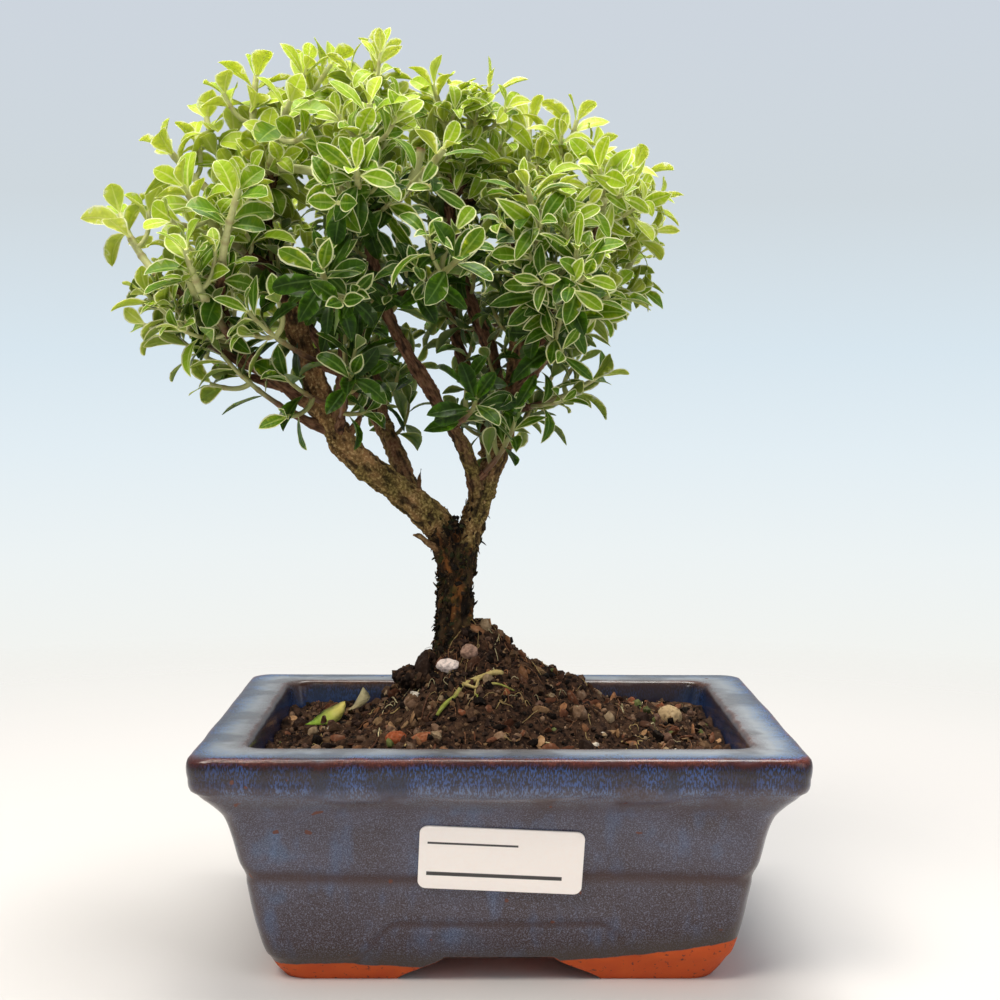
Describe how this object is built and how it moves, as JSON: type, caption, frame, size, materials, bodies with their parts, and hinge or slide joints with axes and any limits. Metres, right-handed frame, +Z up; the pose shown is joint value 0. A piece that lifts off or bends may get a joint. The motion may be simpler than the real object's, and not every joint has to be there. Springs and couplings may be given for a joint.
{
  "type": "serissa bonsai in a glazed rectangular pot",
  "caption": "Small serissa bonsai: forked trunk, broad crown of variegated leafy shoots, heaped soil and a glazed rectangular pot on corner feet.",
  "frame": {"origin": "middle of the bounding box of the whole bonsai, on the surface it stands on", "axes": "+Z up, +X to the right and +Y to the back, seen from the pot's front with the label"},
  "size_m": [0.1856, 0.1336, 0.2399],
  "materials": {
    "glaze": "gloss blue-grey glaze over terracotta, bare at the feet",
    "paper": "matte blank label",
    "bark": "rough flaky bark with green algae",
    "soil": "crumbly dark peat; wood's density stands in for moist peat",
    "tan_stone": "matte pebble",
    "white_stone": "matte pebble",
    "husk": "dry fibrous husk",
    "shed_leaf": "dry thin leaf",
    "root": "smooth young root",
    "young_leaf": "satin lime leaves with cream edges on pale green stems",
    "old_leaf": "satin dark green leaves with cream edges on pale green stems"
  },
  "bodies": {
    "root": {"pot": "glaze", "label": "paper", "wood": "bark", "soil": "soil", "stone_tan": "tan_stone", "stone_white": "white_stone", "stone_buff": "tan_stone", "husk_left": "husk", "husk_right": "husk", "shed_leaf_yellow": "shed_leaf", "shed_leaf_pale": "shed_leaf", "bare_root": "root", "leafy_shoot_01": "young_leaf", "leafy_shoot_02": "young_leaf", "leafy_shoot_03": "young_leaf", "leafy_shoot_04": "young_leaf", "leafy_shoot_05": "young_leaf", "leafy_shoot_06": "young_leaf", "leafy_shoot_07": "young_leaf", "leafy_shoot_08": "young_leaf", "leafy_shoot_09": "young_leaf", "leafy_shoot_10": "young_leaf", "leafy_shoot_11": "young_leaf", "leafy_shoot_12": "old_leaf", "leafy_shoot_13": "old_leaf", "leafy_shoot_14": "old_leaf", "leafy_shoot_15": "old_leaf", "leafy_shoot_16": "old_leaf", "leafy_shoot_17": "old_leaf", "leafy_shoot_18": "old_leaf", "leafy_shoot_19": "old_leaf", "leafy_shoot_20": "old_leaf", "leafy_shoot_21": "old_leaf", "leafy_shoot_22": "young_leaf", "leafy_shoot_23": "young_leaf", "leafy_shoot_24": "young_leaf", "leafy_shoot_25": "young_leaf", "leafy_shoot_26": "young_leaf", "leafy_shoot_27": "young_leaf", "leafy_shoot_28": "young_leaf", "leafy_shoot_29": "old_leaf", "leafy_shoot_30": "old_leaf", "leafy_shoot_31": "old_leaf", "leafy_shoot_32": "old_leaf", "leafy_shoot_33": "old_leaf", "leafy_shoot_34": "old_leaf", "leafy_shoot_35": "young_leaf", "leafy_shoot_36": "young_leaf", "leafy_shoot_37": "young_leaf", "leafy_shoot_38": "young_leaf", "leafy_shoot_39": "young_leaf", "leafy_shoot_40": "young_leaf", "leafy_shoot_41": "old_leaf", "leafy_shoot_42": "old_leaf", "leafy_shoot_43": "old_leaf", "leafy_shoot_44": "old_leaf", "leafy_shoot_45": "old_leaf", "leafy_shoot_46": "old_leaf", "leafy_shoot_47": "old_leaf"}
  },
  "joints": []
}
